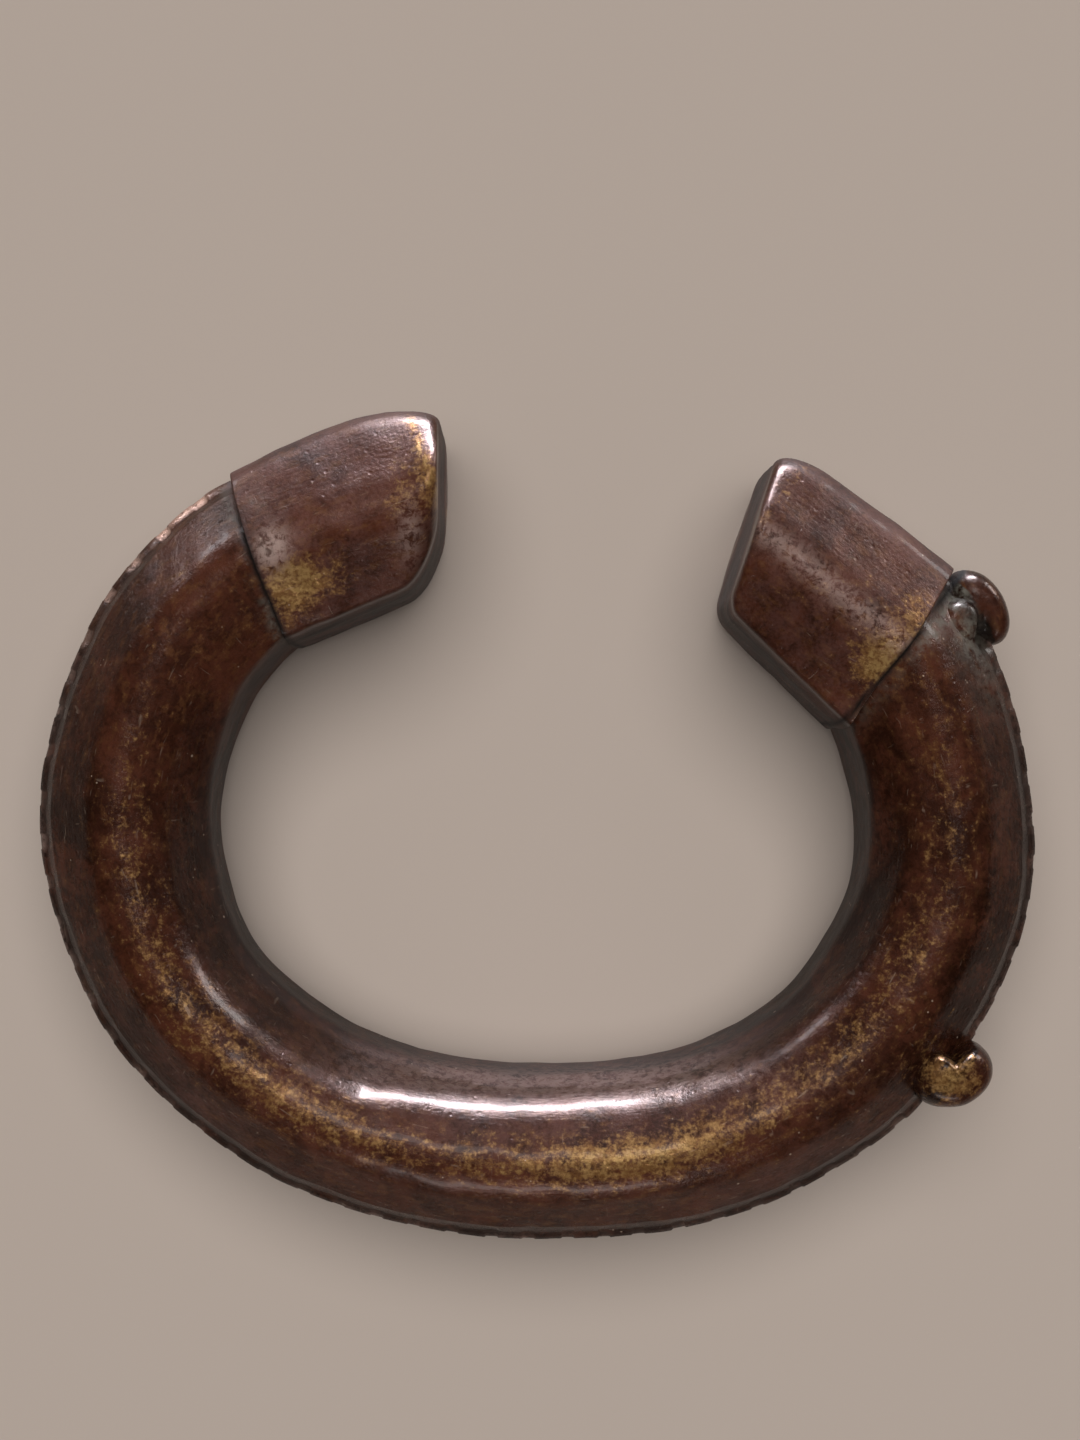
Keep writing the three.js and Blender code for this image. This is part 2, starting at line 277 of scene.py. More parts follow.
# The terminals are the thick blunt ends, cast with the bar and standing a little proud of it at a
# collar. Their fronts rise to a soft ridge, the wrist side is a flat wall, and the ends are cut
# square and then worn round at the corners by long handling.
face_step, face_rounding = 0.5, 0.9
outer_shoulder_radius, outer_draw, wall_bevel = 3.0, 0.4, 0.5
# How high the corners of the section are, in shares of the crown, and how far across the ridge.
wall_share, bevel_share, outer_share, ridge_share = 0.4, 0.72, 0.66, 0.48
collar_rounding = 0.22
waver_height, waver_reach, waver_points = 0.07, 4.0, 400
terminal_fineness, corner_steps, collar_steps = 0.42, 15, 4
left_terminal = dict(
    heading=left_heading, length=18.2, outer_step=0.9, inner_step=1.0, taper=0.0, bulge=0.9,
    collar_lean=2.7, end_lean=21.0, outer_corner=(8.0, 2.2), inner_corner=(4.5, 6.0),
)
right_terminal = dict(
    heading=right_heading, length=17.9, outer_step=1.6, inner_step=1.8, taper=1.6, bulge=0.1,
    collar_lean=5.1, end_lean=21.5, outer_corner=(5.0, 2.4), inner_corner=(1.4, 1.6),
)


def terminal_section(shape, inner_cut, outer_cut, face_cut):
    inner = -bar_width / 2 - shape["inner_step"] + inner_cut
    outer = bar_width / 2 + shape["outer_step"] - outer_cut
    crown = crown_height + face_step - face_cut
    corners = [
        (inner, wall_share * crown, wall_edge_radius, 3, 6),
        (inner + wall_bevel, bevel_share * crown, wall_edge_radius, 4, 8),
        ((1 - ridge_share) * inner + ridge_share * outer, crown, crown_radius, 10, 7),
        (outer - outer_draw, outer_share * crown, outer_shoulder_radius, 6, 6),
    ]
    return round_section((inner, 0.0, 8), corners, (outer, 0.0), crown)


def corner_cut(distance, corner):
    """How far a side is drawn in at a distance from the end, for a rounded corner."""
    length, depth = corner
    share = max(1 - distance / length, 0.0)
    return depth * (1 - math.sqrt(1 - share**2))


def make_terminal_rings(shape, collar, side, seed):
    """The sections from the collar to the end. The collar's line wavers a little, as the
    wax was cut by hand, and the waver dies out along the terminal."""
    heading = heading_of(shape["heading"])
    length = shape["length"]
    rounded = max(shape["outer_corner"][0], shape["inner_corner"][0])
    plain = length - rounded
    rounding = np.sin(np.linspace(0, math.pi / 2, corner_steps))
    stations = [*np.linspace(0, 1, collar_steps) ** 2 * collar_rounding]
    stations += [*np.linspace(collar_rounding, plain, int(plain / terminal_fineness))[1:]]
    stations += [*(plain + rounding * rounded)[1:]]
    rng = np.random.default_rng(seed)
    round_collar = np.linspace(0, 2 * math.pi, waver_points)
    waver = sum(
        rng.uniform(-1, 1) * np.sin(k * round_collar + rng.uniform(0, 6)) for k in range(2, 9)
    )
    rings = []
    for along in stations:
        distance = length - along
        lean = shape["collar_lean"] + (shape["end_lean"] - shape["collar_lean"]) * along / length
        swell = shape["bulge"] * math.sin(math.pi * along / length)
        narrowing = shape["taper"] / 2 * along / length
        collar_cut = corner_cut(along, (collar_rounding, collar_rounding))
        section = terminal_section(
            shape,
            corner_cut(distance, shape["inner_corner"]) + narrowing + collar_cut,
            corner_cut(distance, shape["outer_corner"]) + narrowing - swell + collar_cut,
            corner_cut(distance, (face_rounding, face_rounding)) + collar_cut,
        )
        outward = heading_of(shape["heading"] + side * (lean - 90))
        turn = np.arctan2(section[:, 1], section[:, 0])
        drift = np.interp(turn, np.linspace(-math.pi, math.pi, waver_points), waver)
        forward = along + waver_height * drift * max(0.0, 1 - along / waver_reach)
        flat = collar + heading * forward[:, None] + outward * section[:, :1]
        rings.append(np.column_stack([flat, middle_height + section[:, 1]]))
    return rings


left_rings = make_terminal_rings(left_terminal, left_collar, side=-1, seed=3)
right_rings = make_terminal_rings(right_terminal, right_collar, side=1, seed=4)
left_end = make_shell("left_end", left_rings, cap_steps=9)
right_end = make_shell("right_end", right_rings, cap_steps=9)

# Two knobs stand at the bar's outer shoulder, one in the corner by the right collar and one further
# down. They were modelled by hand on the wax and cast with the rest: a hood that curls over a
# small hollow, and a stub with a notch that makes it look like a heart, with a bead beside it.
upper_knob_gap, lower_knob_share = 0.9, 0.763
notch_spread, bluntness = 0.4, 0.6
knob_sides, knob_rings = 72, 26
upper_along = bar_length - lip_overlap - upper_knob_gap
lower_along = lip_overlap + (bar_length - 2 * lip_overlap) * lower_knob_share


def make_knob(name, along, lift, drop, size, turn=0.0, notch=0.0, notch_at=0.0, slide=0.0):
    """A blunt peg that is pressed to its outline. lift is from the ribs out to its middle, drop is
    from the front crown down to its top, and size is its length, width and height."""
    tilt = np.pi * (np.arange(1, knob_rings) / knob_rings - 0.5)
    radius = np.cos(tilt) ** bluntness
    height = np.sign(tilt) * np.abs(np.sin(tilt)) ** bluntness
    around = np.linspace(0, 2 * math.pi, knob_sides, endpoint=False)
    own_turn = math.radians(turn)
    away = around - (math.radians(notch_at) - own_turn)
    away = np.arctan2(np.sin(away), np.cos(away)) / notch_spread
    pinch = 1 - notch * np.exp(-(away**2))
    seat, outward = on_bar(np.array(along + slide))
    seat = seat + outward * (bar_width / 2 + lift)
    turned = own_turn + math.atan2(outward[1], outward[0]) + math.pi / 2
    c, s = math.cos(turned), math.sin(turned)
    rings = []
    for r, h in zip(radius, height):
        a, b = np.cos(around) * pinch * r * size[0] / 2, np.sin(around) * pinch * r * size[1] / 2
        z = middle_height + crown_height - drop - size[2] / 2 + h * size[2] / 2
        x, y = seat[0] + c * a - s * b, seat[1] + s * a + c * b
        rings.append(np.column_stack([x, y, np.full_like(a, z)]))
    return make_shell(name, rings, cap_steps=2)


knobs = [
    make_knob("hood", upper_along, 0.75, 4.3, (8.0, 4.9, 8.0)),
    make_knob("hood_foot", upper_along, -1.8, 3.0, (4.6, 4.2, 6.0)),
    make_knob("heart", lower_along, -0.3, 0.9, (7.9, 6.4, 8.8), turn=-34, notch=0.5, notch_at=40),
    make_knob("round_bead", upper_along, -1.0, 4.5, (1.5, 1.2, 1.6), slide=0.2),
    make_knob("slim_bead", lower_along, -2.75, 4.2, (1.1, 2.6, 1.8), turn=20, slide=-2.3),
]

# The casting: bar, ribs, terminals and knobs are one pour of copper alloy. Years of wear left
# shallow dents and pits, round edges, and golden metal on what stands proud, over a dark
# reddish-brown patina, with grey-green corrosion and painted shade in the corners by collars and
# knobs.
mm = 0.001  # in metres
line_stride, search_batches = 3, 40  # every third point of the middle line is near enough
terminal_reach, terminal_half_width = 30, 14
worn_off = 0.10
long_swell, short_swell = (0.05, 9.0, 21), (0.022, 3.2, 22)  # depth, length and seed
pit_places = [(39.3, 0.55, 23.0), (38.8, 2.45, 23.0), (40.3, -1.5, 22.8), (-1.7, -27.7, 23.3)]
pit_depth, pit_reach = 0.16, (0.55, 0.7, 3.0)
hollow_place = (41.5, 18.2, 18.0)  # under the hood's lip
hollow_depth, hollow_reach = 0.9, (0.8, 1.5, 2.2)
dent_count, dent_depths, dent_reaches = 190, (0.02, 0.07), (0.5, 1.2)
crisp_edge = 38  # degrees
knob_start, rib_slack = 0.1, 0.2
casting = bar
for other in [left_end, right_end, *knobs]:
    join = casting.modifiers.new("join", "BOOLEAN")
    join.operation, join.solver, join.object = "UNION", "EXACT", other
    shaped = bpy.data.meshes.new_from_object(
        casting.evaluated_get(bpy.context.evaluated_depsgraph_get())
    )
    casting.modifiers.clear()
    casting.data = shaped
    bpy.data.objects.remove(other)
casting.name = casting.data.name = "bracelet_casting"

points = np.array([v.co for v in casting.data.vertices])
solid_low, solid_high = (np.array(corner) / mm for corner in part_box("bracelet"))
to_frame = ((solid_low + solid_high) - (points.min(axis=0) + points.max(axis=0)))[:2] / 2


def beside_bar(points):
    """Each point's length along the bar, its distance outward from the bar's middle line, and how
    far it is in front of the bar's middle plane."""
    run, line = bar_run[::line_stride], bar_line[::line_stride]
    nearest = np.concatenate([
        ((some[:, None, :2] - line[None]) ** 2).sum(axis=2).argmin(axis=1)
        for some in np.array_split(points, search_batches)
    ])
    along = run[nearest]
    middle, outward = on_bar(along)
    return along, ((points[:, :2] - middle) * outward).sum(axis=1), points[:, 2] - middle_height


def beside_terminal(points, shape, collar, side):
    """Each point's distance from the collar towards the end, its distance outward, and whether it
    is on that terminal."""
    heading, outward = heading_of(shape["heading"]), heading_of(shape["heading"] - side * 90)
    away = points[:, :2] - collar
    forward, out = away @ heading, away @ outward
    on_it = (forward > touch) & (forward < terminal_reach) & (np.abs(out) < terminal_half_width)
    return forward, out, on_it


def swells(points, length, seed, waves=22):
    """A smooth, irregular field with swells of about this length, mostly between -1 and 1."""
    rng = np.random.default_rng(seed)
    ways = rng.normal(size=(waves, 3))
    ways /= np.linalg.norm(ways, axis=1, keepdims=True)
    ways *= 2 * math.pi / length * rng.uniform(0.6, 1.4, (waves, 1))
    phases = rng.uniform(0, 2 * math.pi, waves)
    return np.sin(points @ ways.T + phases).sum(axis=1) / math.sqrt(waves)


def bell(distance, reach):
    """1 at no distance and falling off on both sides."""
    return np.exp(-((distance / reach) ** 2))


def rise(value, start, length):
    """0 up to the start, 1 once past the length, and smooth between."""
    return ease((value - start) / length)


def fall(value, end, length):
    """0 from the end on, 1 until a length before it, and smooth between."""
    return ease((end - value) / length)


def mound(points, place, reach):
    """1 at a place and falling off round it. A reach can be one length or one for each axis."""
    return np.exp(-(((points - np.array(place)) / np.array(reach)) ** 2).sum(axis=1))


def mounds(points, *marks):
    """Several mounds together, each given by its strength, place and reach."""
    return sum(strength * mound(points, place, reach) for strength, place, reach in marks)


along, out, front = beside_bar(points)
left_forward, left_out, on_left = beside_terminal(points, left_terminal, left_collar, -1)
right_forward, right_out, on_right = beside_terminal(points, right_terminal, right_collar, 1)
on_terminal = on_left | on_right
on_bar_itself = ~on_terminal
points[:, :2] += to_frame

# Wear: dents go inward only, so that the casting stays inside its box.
normals = np.zeros(len(points) * 3, np.float32)
casting.data.vertex_normals.foreach_get("vector", normals)
normals = normals.reshape(-1, 3).astype(float)
sunk = worn_off
for depth, length, seed in (long_swell, short_swell):
    sunk = sunk + depth * swells(points, length, seed)
sunk = np.maximum(sunk, 0.0)
for pit_place in pit_places:
    sunk += pit_depth * mound(points, pit_place, pit_reach)
sunk += hollow_depth * mound(points, hollow_place, hollow_reach)
rng = np.random.default_rng(8)
for centre in points[rng.integers(0, len(points), dent_count)]:
    sunk += rng.uniform(*dent_depths) * mound(points, centre, rng.uniform(*dent_reaches))
points -= normals * sunk[:, None]
points = np.clip(points, solid_low, solid_high)
casting.data.vertices.foreach_set("co", (points * mm).astype(np.float32).ravel())
casting.data.update()
casting.data.shade_smooth()
casting.data.set_sharp_from_angle(angle=math.radians(crisp_edge))


def lay_on(name, values):
    layer = casting.data.attributes.new(name, "FLOAT", "POINT")
    layer.data.foreach_set("value", np.clip(values, 0, 1).astype(np.float32))


# Where the surface lies, as if the casting were laid out straight: streaks and scratches follow it.
straight = np.column_stack([along, out, front])
straight[on_left] = np.column_stack([left_forward, left_out, front])[on_left]
straight[on_right] = np.column_stack([right_forward, right_out, front])[on_right]
layer = casting.data.attributes.new("laid_straight", "FLOAT_VECTOR", "POINT")
layer.data.foreach_set("vector", straight.astype(np.float32).ravel())

# Shares that place the wear: along the bar, across it from -1 on the wrist side to 1 on the outer
# side, and up from the middle plane to the front or back crown.
share_along = along / bar_length
across = out / (bar_width / 2)
half_width = bar_width * value_at(width_shares, along) / 2
front_share = front / crown_height
up = np.abs(front_share)
on_knob = on_bar_itself & (out > half_width + knob_start)
outer_side = on_bar_itself & (out > half_width - rib_height - rib_slack)

# Golden metal: a band along the bar's crown, a patch by each collar, the worn ends and the heart.
band_place = np.interp(
    share_along,
    [0.0, 0.3, 0.4, 0.5, 0.58, 0.68, 0.78, 1.0],
    [-0.2, -0.18, -0.1, -0.05, -0.06, -0.3, -0.3, 0.0],
)
band_strength = np.interp(
    share_along,
    [0.0, 0.06, 0.14, 0.2, 0.3, 0.38, 0.46, 0.5, 0.56, 0.62, 0.7, 0.8, 0.9, 1.0],
    [0.1, 0.05, 0.15, 0.35, 0.5, 0.68, 0.45, 0.5, 0.8, 0.72, 0.5, 0.42, 0.25, 0.1],
)
band_width, dome_strength = 0.34, 0.1
end_inset, end_width = 0.4, 0.6
on_dome = rise(up, 0.45, 0.5)
golden = (0.92 * band_strength * bell(across - band_place, band_width) + dome_strength) * on_dome
golden *= on_bar_itself
for strength, shape, forward, on_it in (
    (0.8, left_terminal, left_forward, on_left), (0.6, right_terminal, right_forward, on_right),
):
    by_end = bell(shape["length"] - end_inset - forward, end_width)
    golden += strength * by_end * on_it * rise(up, 0.6, 0.2)
golden += on_left * mounds(
    points,
    (1.2, (-22.6, 21.5, 23.4), (2.7, 3.0, 4.0)),
    (0.7, (-19.3, 23.0, 23.4), (3.2, 1.8, 4.0)),
    (0.6, (-11.2, 30.6, 23.4), (3.6, 4.0, 4.0)),
)
golden += on_right * mounds(
    points,
    (1.2, (31.2, 15.1, 23.4), (2.8, 3.3, 4.0)),
    (0.7, (34.6, 19.0, 22.8), (2.4, 3.0, 4.0)),
    (0.3, (26.5, 22.0, 23.4), (6.0, 2.4, 4.0)),
)
golden += mounds(
    points,
    (0.2, (8.5, -29.3, 23.4), (8.0, 1.3, 4.0)),
    (0.8, (37.6, -22.6, 22.6), (3.6, 3.6, 3.0)),
)
lay_on("golden", golden)

# Bare copper shows on the filed nicks by the left collar. Two spots on the left terminal are rubbed
# paler. A painted highlight runs along the ribs' edges, a painted sheen along the right terminal's
# ridge, and a painted reflection lies on the wrist side at the foot.
least_bare, bare_from, bare_fade = 0.08, 0.04, 0.11
first_run_place, first_run_width = 2.6, 1.7
rib_face = rise(np.abs(front), rib_offset, 0.5) * (np.abs(front) < rib_offset + rib_width / 2 + 0.5)
how_bare = least_bare + (1 - least_bare) * (1 - rise(share_along, bare_from, bare_fade))
first_run = 0.7 * bell(along - lip_overlap - first_run_place, first_run_width) * (share_along < 0.5)
lay_on("bare", outer_side * rib_face * np.maximum(nick_at(along), first_run) * how_bare)
# Painted highlight: a pale line along the edges of the ribs.
rib_edge = bell(np.abs(front) - rib_offset - rib_width / 2 + 0.1, 0.35) * outer_side
rubs_and_sheen = rib_edge * (0.15 + 0.25 * swells(points, 6.0, 31))
rubs_and_sheen += on_left * mounds(
    points,
    (1.4, (-23.9, 25.4, 23.4), (1.4, 1.9, 4.0)),
    (0.7, (-11.5, 27.0, 23.4), (1.0, 2.6, 4.0)),
)
# Painted sheen: a pale band along the right terminal's ridge.
rubs_and_sheen += 0.55 * bell(right_out + 0.4, 1.3) * rise(front_share, 0.8125, 0.125) * on_right
# Painted reflection: a pale band on the wrist side at the foot of the C.
rubs_and_sheen += on_bar_itself * mounds(points, (0.9, (2.0, -22.6, 19.0), (15.0, 2.0, 5.5)))
lay_on("rubs_and_sheen", rubs_and_sheen)

# The patina is darker on both flanks of the bar, between the foot of the C and the collars, and it
# is redder and lighter on the terminals and at the foot. Painted shade darkens it further on the
# bar's outer side and low down its sides, on the terminals' sides and wrist side, and down the
# walls.
flanks = np.interp(
    share_along,
    [0.0, 0.1, 0.2, 0.32, 0.42, 0.6, 0.7, 0.8, 0.93, 1.0],
    [0.1, 0.35, 0.9, 0.75, 0.3, 0.2, 0.6, 1.0, 0.7, 0.2],
)
deep_and_shaded = (0.45 + 0.55 * rise(np.abs(across - band_place), 0.25, 0.35)) * flanks
# Painted shade: darker on the bar's outer side and low down its sides and walls.
deep_and_shaded += 0.75 * rise(across, 0.72, 0.2) * rise(share_along, 0.04, 0.2) + 0.5 * fall(up, 0.45, 0.3)
deep_and_shaded *= on_bar_itself
# Painted shade: darker down the terminals' sides and on their wrist side.
deep_and_shaded += 0.8 * fall(up, 0.66, 0.25) * on_terminal
deep_and_shaded += 0.35 * (fall(left_out, -1.0, 4.0) * on_left + fall(right_out, -1.0, 4.0) * on_right)
deep_and_shaded[on_knob] = 0.15
between_ribs = outer_side * fall(np.abs(front), rib_offset - rib_width / 2 + 0.3, 0.6)
deep_and_shaded += (0.35 + 0.2 * swells(points, 14.0, 41) - deep_and_shaded) * between_ribs
lay_on("deep_and_shaded", deep_and_shaded)

# The walls and the terminals' outer shoulders were never polished, so they are rougher.
unpolished = fall(up, 0.74, 0.12) * (on_terminal | (across < -0.9))
unpolished += 0.7 * rise(right_out, 5.5, 2.0) * on_right + 0.25 * rise(left_out, 5.0, 2.0) * on_left
lay_on("unpolished", unpolished)

# Painted shade keeps to the corners: along the collars, beside the ribs and in the hollow.
corner_shade = bell(left_forward, 0.3) * (np.abs(left_out) < 11)
corner_shade += bell(right_forward, 0.3) * (np.abs(right_out) < 11)
from_rib_side = np.abs(np.abs(np.abs(front) - rib_offset) - rib_width / 2)
corner_shade += 0.6 * bell(out - half_width + rib_height, 0.3) * bell(from_rib_side, 0.4) * on_bar_itself
corner_shade += 0.9 * mound(points, hollow_place, (0.9, 1.5, 2.2))
lay_on("corner_shade", corner_shade)

# Grey-green corrosion sits on the bar's side of the collars and by the upper knob.
by_left = bell(left_forward + 0.5, 0.5) * (np.abs(left_out) < 10) * on_bar_itself
by_right = bell(right_forward + 0.8, 0.9) * (np.abs(right_out) < 10) * on_bar_itself
dust = by_left * (0.1 + 0.6 * rise(left_out, 2.0, 4.0) + 0.45 * fall(left_out, -3.5, 2.0))
dust += by_right * (0.15 + 0.7 * rise(right_out, -1.5, 5.0))
dust += mounds(
    points,
    (0.4, (-25.9, 30.2, 22.5), 1.2),
    (0.3, (-24.2, 25.4, 23.0), 1.2),
    (0.75, (39.6, 17.6, 18.0), (1.6, 2.2, 4.0)),
)
dust += on_bar_itself * mounds(points, (0.3, (41.4, 14.5, 18.0), (1.6, 4.0, 4.0)))
lay_on("dust", dust * np.where(on_knob, 0.12, 1.0))

# A painted plum-grey sheen lies over the terminals, the foot of the C and the outer slope beside
# it.
plum_sheen = 0.08 + 0.45 * on_terminal
plum_sheen += on_bar_itself * mounds(points, (1.0, (2.0, -23.5, 20.0), (17.0, 5.5, 14.0)))
plum_sheen += rise(across, 0.3, 0.3) * mounds(
    points,
    (0.8, (-31.0, -24.0, 20.0), (8.0, 8.0, 14.0)),
    (0.6, (24.0, -31.0, 20.0), (9.0, 6.0, 14.0)),
)
lay_on("plum_sheen", plum_sheen)

patina = bpy.data.materials.new("patinated_copper_alloy")
patina.use_nodes = True
shader_nodes, shader_links = patina.node_tree.nodes, patina.node_tree.links
metal = shader_nodes["Principled BSDF"]
own_place = shader_nodes.new("ShaderNodeTexCoord").outputs["Object"]
straight_node = shader_nodes.new("ShaderNodeAttribute")
straight_node.attribute_name = "laid_straight"


def link(value, socket):
    if isinstance(value, (int, float, tuple)):
        socket.default_value = value
    else:
        shader_links.new(value, socket)


def laid(name):
    node = shader_nodes.new("ShaderNodeAttribute")
    node.attribute_name = name
    return node.outputs["Fac"]


def drawn_out(along, across=1.0):
    """The straightened place, squeezed so that grains come out this many times as long, or wide."""
    node = shader_nodes.new("ShaderNodeVectorMath")
    node.operation = "MULTIPLY"
    link(straight_node.outputs["Vector"], node.inputs[0])
    link((mm / along, mm / across, mm / across), node.inputs[1])
    return node.outputs["Vector"]


def grain(size, detail=3.0, roughness=0.55, distortion=0.0, where=own_place):
    """Noise with grains of about this size in millimetres."""
    node = shader_nodes.new("ShaderNodeTexNoise")
    link(where, node.inputs["Vector"])
    node.inputs["Scale"].default_value = 1 / (size * mm)
    node.inputs["Detail"].default_value = detail
    node.inputs["Roughness"].default_value = roughness
    node.inputs["Distortion"].default_value = distortion
    return node.outputs["Fac"]


def cell_distance(size):
    """The distance from the nearest of many points, this many millimetres apart."""
    node = shader_nodes.new("ShaderNodeTexVoronoi")
    link(own_place, node.inputs["Vector"])
    node.inputs["Scale"].default_value = 1 / (size * mm)
    return node.outputs["Distance"]


def maths(operation, a, b):
    node = shader_nodes.new("ShaderNodeMath")
    node.operation = operation
    link(a, node.inputs[0])
    link(b, node.inputs[1])
    return node.outputs[0]


def times(*values):
    result = values[0]
    for value in values[1:]:
        result = maths("MULTIPLY", result, value)
    return result


def weighed(*parts):
    """The sum of some values, each times its weight."""
    result = times(*parts[0])
    for part in parts[1:]:
        result = maths("ADD", result, times(*part))
    return result


def step_up(value, low, high):
    """0 below low, 1 above high, and a soft step between."""
    node = shader_nodes.new("ShaderNodeMapRange")
    node.interpolation_type = "SMOOTHSTEP"
    link(value, node.inputs["Value"])
    link(low, node.inputs["From Min"])
    link(high, node.inputs["From Max"])
    return node.outputs["Result"]


def over(below, above, share):
    """One colour laid over another."""
    node = shader_nodes.new("ShaderNodeMix")
    node.data_type = "RGBA"
    sockets = [s for s in node.inputs if s.enabled]
    for value, socket in zip((share, below, above), sockets):
        link(value, socket)
    return [s for s in node.outputs if s.enabled][0]


def between(a, b, share):
    """A number on the way from a to b."""
    node = shader_nodes.new("ShaderNodeMix")
    for value, socket in ((share, "Factor"), (a, "A"), (b, "B")):
        link(value, node.inputs[socket])
    return node.outputs["Result"]


streaks = grain(0.9, 4.0, 0.65, where=drawn_out(1.6))
fine = grain(0.7, 5.0, 0.7, 0.5)
speck = grain(0.32, 2.0, 0.6)
cloud = grain(5.0, 5.0, 0.62, 0.4)

# Patina: clouds of deep and red brown, ochre streaks, a painted plum sheen, and dark flanks that
# are partly painted shade.
deep_brown, red_brown = (0.030, 0.0095, 0.005, 1), (0.100, 0.030, 0.0155, 1)
ochre_brown, plum_sheen_tone = (0.14, 0.056, 0.022, 1), (0.165, 0.072, 0.060, 1)
darkest = (0.012, 0.0038, 0.0018, 1)
base = over(deep_brown, red_brown, step_up(weighed((cloud, 0.6), (fine, 0.4)), 0.36, 0.62))
base = over(base, ochre_brown, times(step_up(streaks, 0.48, 0.66), 0.6))
plum_sheen_cloud = weighed((grain(2.2, 5.0, 0.65), 0.6), (speck, 0.4))
# Painted sheen: plum-grey over the terminals and the foot of the C.
base = over(base, plum_sheen_tone, times(laid("plum_sheen"), step_up(plum_sheen_cloud, 0.38, 0.62), 0.8))
dark_cloud = weighed((cloud, 0.5), (fine, 0.5))
# Darkest on the flanks: their own patina, with painted shade on the sides and walls.
base = over(base, darkest, times(laid("deep_and_shaded"), step_up(dark_cloud, 0.74, 0.44), 0.95))
base = over(base, darkest, times(step_up(fine, 0.52, 0.66), 0.35))

# Gold: it comes through in more and more of the grain where the metal is worn, and shines there.
old_gold, bright_gold = (0.23, 0.112, 0.036, 1), (0.44, 0.265, 0.105, 1)
polished_gold = (0.37, 0.235, 0.085, 1)
gold_edge = maths("SUBTRACT", 0.70, times(laid("golden"), 0.28))
gold_low, gold_high = maths("SUBTRACT", gold_edge, 0.10), maths("ADD", gold_edge, 0.10)
gold_share = step_up(weighed((speck, 0.25), (fine, 0.35), (streaks, 0.4)), gold_low, gold_high)
bright_grain = weighed((speck, 0.3), (fine, 0.3), (grain(1.0, 3.0, 0.6), 0.4))
well_worn = step_up(laid("golden"), 0.7, 1.0)
base = over(base, old_gold, times(gold_share, 0.8))
base = over(base, bright_gold, times(gold_share, step_up(bright_grain, 0.45, 0.62), 0.6))
polished_share = times(gold_share, well_worn, step_up(bright_grain, 0.42, 0.60))
base = over(base, polished_gold, times(polished_share, 0.65))

# Marks: pale flecks, fine scratches along and across, pale rubs with painted highlight and sheen,
# bare copper, dust, and painted shade in the corners.
fleck, rub_and_sheen_pale, copper = (0.55, 0.42, 0.32, 1), (0.33, 0.225, 0.195, 1), (0.85, 0.56, 0.46, 1)
dust_grey, corner_shade_black = (0.17, 0.16, 0.13, 1), (0.008, 0.006, 0.005, 1)
fleck_field = maths("ADD", cell_distance(1.5), times(grain(2.6, 2.0), 0.45))
along_marks = step_up(grain(0.45, 2.0, 0.6, 0.6, where=drawn_out(5.0)), 0.66, 0.78)
cross_marks = step_up(grain(0.5, 2.0, 0.6, 0.6, where=drawn_out(1.0, 4.0)), 0.68, 0.80)
bare_share = times(laid("bare"), step_up(fine, 0.3, 0.5))
dust_share = times(laid("dust"), step_up(grain(1.0, 5.0, 0.7), 0.36, 0.62))
corner_shade_share = times(laid("corner_shade"), step_up(fine, 0.15, 0.4))
base = over(base, fleck, times(step_up(fleck_field, 0.26, 0.20), 0.6))
base = over(base, fleck, times(maths("MAXIMUM", along_marks, cross_marks), 0.18))
# Pale rubs, with painted highlight on the rib edges and painted sheen and reflection elsewhere.
base = over(base, rub_and_sheen_pale, times(laid("rubs_and_sheen"), step_up(fine, 0.38, 0.58)))
base = over(base, copper, bare_share)
base = over(base, dust_grey, dust_share)
# Painted shade: near-black in the corners by the collars, the ribs and the hollow.
base = over(base, corner_shade_black, corner_shade_share)
link(base, metal.inputs["Base Color"])

# Gloss: the patina is a dull skin, the gold and the copper are metal, and dust and the painted
# corner shade are matt.
patina_metal, gold_metal, matt = 0.08, 0.35, 0.8
least_rough, grain_rough, unpolished_rough, plum_sheen_rough = 0.14, 0.22, 0.32, 0.13
shine = between(patina_metal, gold_metal, maths("MAXIMUM", gold_share, bare_share))
dull = maths("MAXIMUM", dust_share, corner_shade_share)
link(times(shine, maths("SUBTRACT", 1.0, dull)), metal.inputs["Metallic"])
rough = maths("ADD", least_rough, weighed(
    (grain(1.4, 5.0, 0.65), grain_rough),
    (laid("unpolished"), unpolished_rough),
    (laid("plum_sheen"), plum_sheen_rough),
))
link(between(rough, matt, dull), metal.inputs["Roughness"])
metal.inputs["Specular IOR Level"].default_value = 0.16
metal.inputs["Coat Weight"].default_value = 0.08
metal.inputs["Coat Roughness"].default_value = 0.12

# Relief too fine for the mesh: the skin's grain, pinholes and scratches.
pitted = step_up(cell_distance(1.3), 0.04, 0.2)
height = weighed(
    (fine, 0.35),
    (grain(0.38, 3.0, 0.65), 0.4),
    (pitted, 0.3),
    (grain(0.5, 3.0, 0.7, where=drawn_out(9.0)), 0.35),
    (cross_marks, -0.12),
)
bump = shader_nodes.new("ShaderNodeBump")
bump.inputs["Strength"].default_value = 0.9
bump.inputs["Distance"].default_value = 0.1 * mm
link(height, bump.inputs["Height"])
link(bump.outputs["Normal"], metal.inputs["Normal"])
casting.data.materials.clear()
casting.data.materials.append(patina)
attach(casting, "root")
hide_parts("bracelet")

